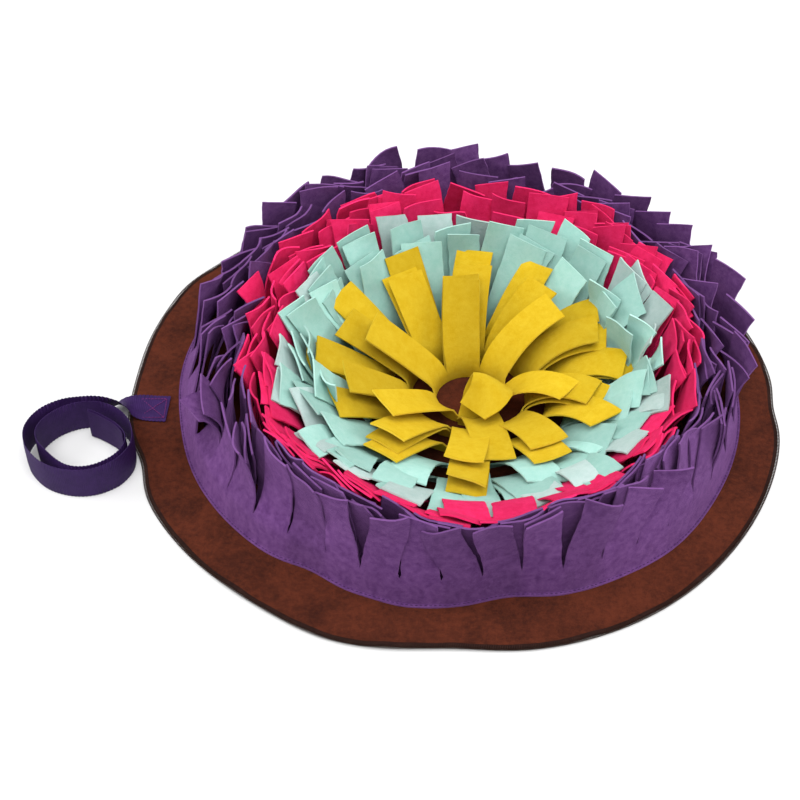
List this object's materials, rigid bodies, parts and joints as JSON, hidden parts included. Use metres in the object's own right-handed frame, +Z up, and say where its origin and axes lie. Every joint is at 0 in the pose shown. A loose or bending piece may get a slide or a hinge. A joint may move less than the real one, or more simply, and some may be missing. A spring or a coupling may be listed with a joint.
{
  "type": "snuffle mat",
  "caption": "Round felt mat with a deep bowl of standing cut-felt tabs in concentric colour rings that hide treats for a pet, and a rolled webbing strap at one edge.",
  "frame": {"origin": "middle of the round base's underside, on the surface that it lies on", "axes": "+Z up out of the base; -Y is the front, nearest the viewer; the strap lies beside the -X edge"},
  "size_m": [0.5665, 0.4963, 0.0927],
  "materials": {
    "brown_felt": "needled felt",
    "purple_felt": "needled felt",
    "pink_felt": "needled felt",
    "mint_felt": "needled felt",
    "yellow_felt": "needled felt",
    "purple_webbing": "ribbed woven webbing"
  },
  "bodies": {
    "root": {"base_mat": "brown_felt", "purple_row_1": "purple_felt", "purple_row_2": "purple_felt", "purple_row_3": "purple_felt", "pink_row_1": "pink_felt", "pink_row_2": "pink_felt", "pink_row_3": "pink_felt", "mint_row_1": "mint_felt", "mint_row_2": "mint_felt", "mint_row_3": "mint_felt", "yellow_row_1": "yellow_felt", "yellow_row_2": "yellow_felt", "yellow_row_3": "yellow_felt", "carry_strap": "purple_webbing", "strap_patch": "purple_webbing"}
  },
  "joints": []
}
